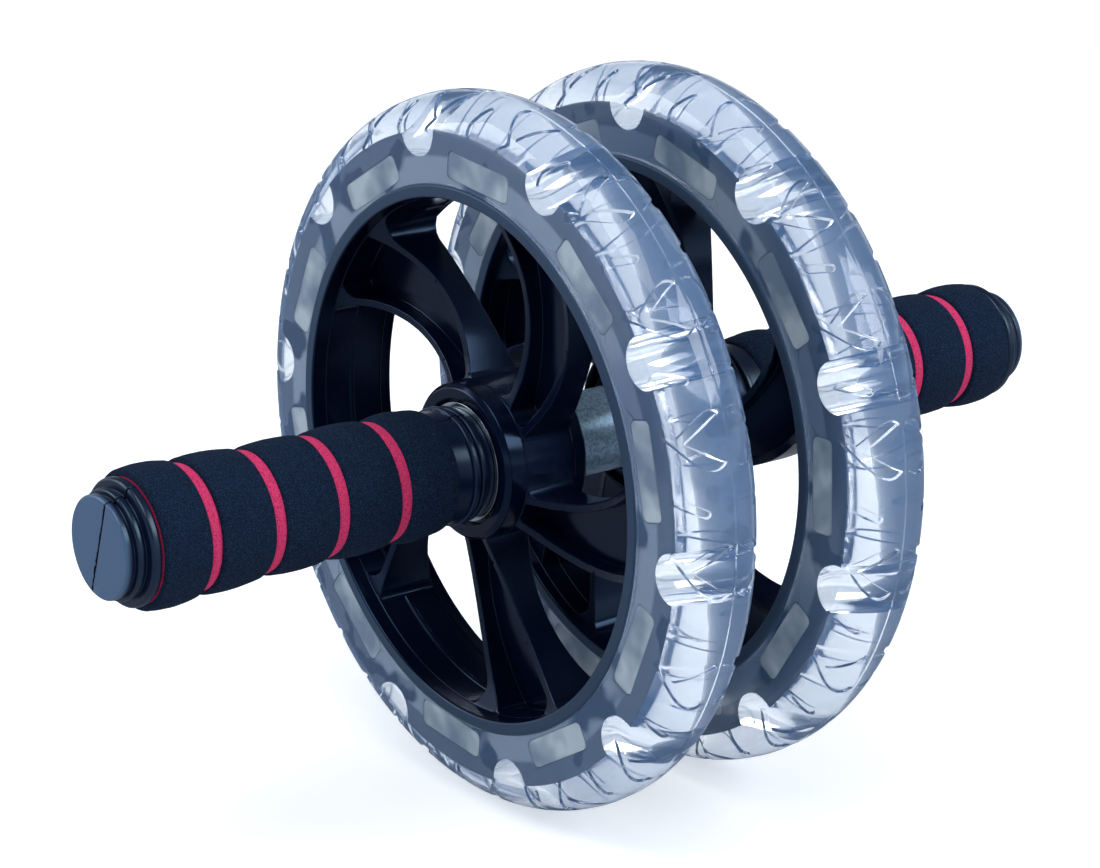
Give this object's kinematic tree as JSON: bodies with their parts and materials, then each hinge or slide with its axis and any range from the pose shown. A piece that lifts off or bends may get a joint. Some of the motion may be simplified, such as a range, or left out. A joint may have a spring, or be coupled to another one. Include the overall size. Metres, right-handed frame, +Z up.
{
  "type": "ab wheel roller",
  "caption": "Ab wheel roller: twin free-rolling wheels with clear treaded tyres and swept spokes on a steel tube, with a ribbed foam grip at each end.",
  "frame": {"origin": "on the floor under the middle of the axle tube, midway between the two wheels", "axes": "+Y along the axle from the right handle to the left handle, +X the rolling direction, +Z up"},
  "size_m": [0.1888, 0.2944, 0.1888],
  "materials": {
    "tube": "galvanised, mottled",
    "handle_plastic": "satin moulded black plastic",
    "screw_steel": "zinc plated",
    "red_foam": "cut foam",
    "black_foam": "fine-celled foam",
    "bright_steel": "bright plated",
    "spring_steel": "blackened spring steel",
    "rim_plastic": "gloss moulded black plastic",
    "clear_tyre": "clear soft PVC, glossy",
    "bush_nylon": "natural nylon"
  },
  "bodies": {
    "axle": {"axle_tube": "tube", "right_handle_front_shell": "handle_plastic", "right_handle_rear_shell": "handle_plastic", "right_handle_screws": "screw_steel", "right_grip_liner": "red_foam", "right_grip_bands": "black_foam", "right_outer_washer": "bright_steel", "right_inner_washer": "bright_steel", "right_circlip": "spring_steel", "left_handle_front_shell": "handle_plastic", "left_handle_rear_shell": "handle_plastic", "left_handle_screws": "screw_steel", "left_grip_liner": "red_foam", "left_grip_bands": "black_foam", "left_outer_washer": "bright_steel", "left_inner_washer": "bright_steel", "left_circlip": "spring_steel"},
    "right_wheel": {"right_rim": "rim_plastic", "right_tyre": "clear_tyre", "right_outer_bush": "bush_nylon", "right_inner_bush": "bush_nylon"},
    "left_wheel": {"left_rim": "rim_plastic", "left_tyre": "clear_tyre", "left_outer_bush": "bush_nylon", "left_inner_bush": "bush_nylon"}
  },
  "joints": [
    {"name": "right_wheel_spin", "type": "hinge", "parent": "axle", "child": "right_wheel", "pos_m": [0, -0.0274, 0.0944], "axis": [0, 1, 0], "continuous": true},
    {"name": "left_wheel_spin", "type": "hinge", "parent": "axle", "child": "left_wheel", "pos_m": [0, 0.0274, 0.0944], "axis": [0, 1, 0], "continuous": true}
  ]
}
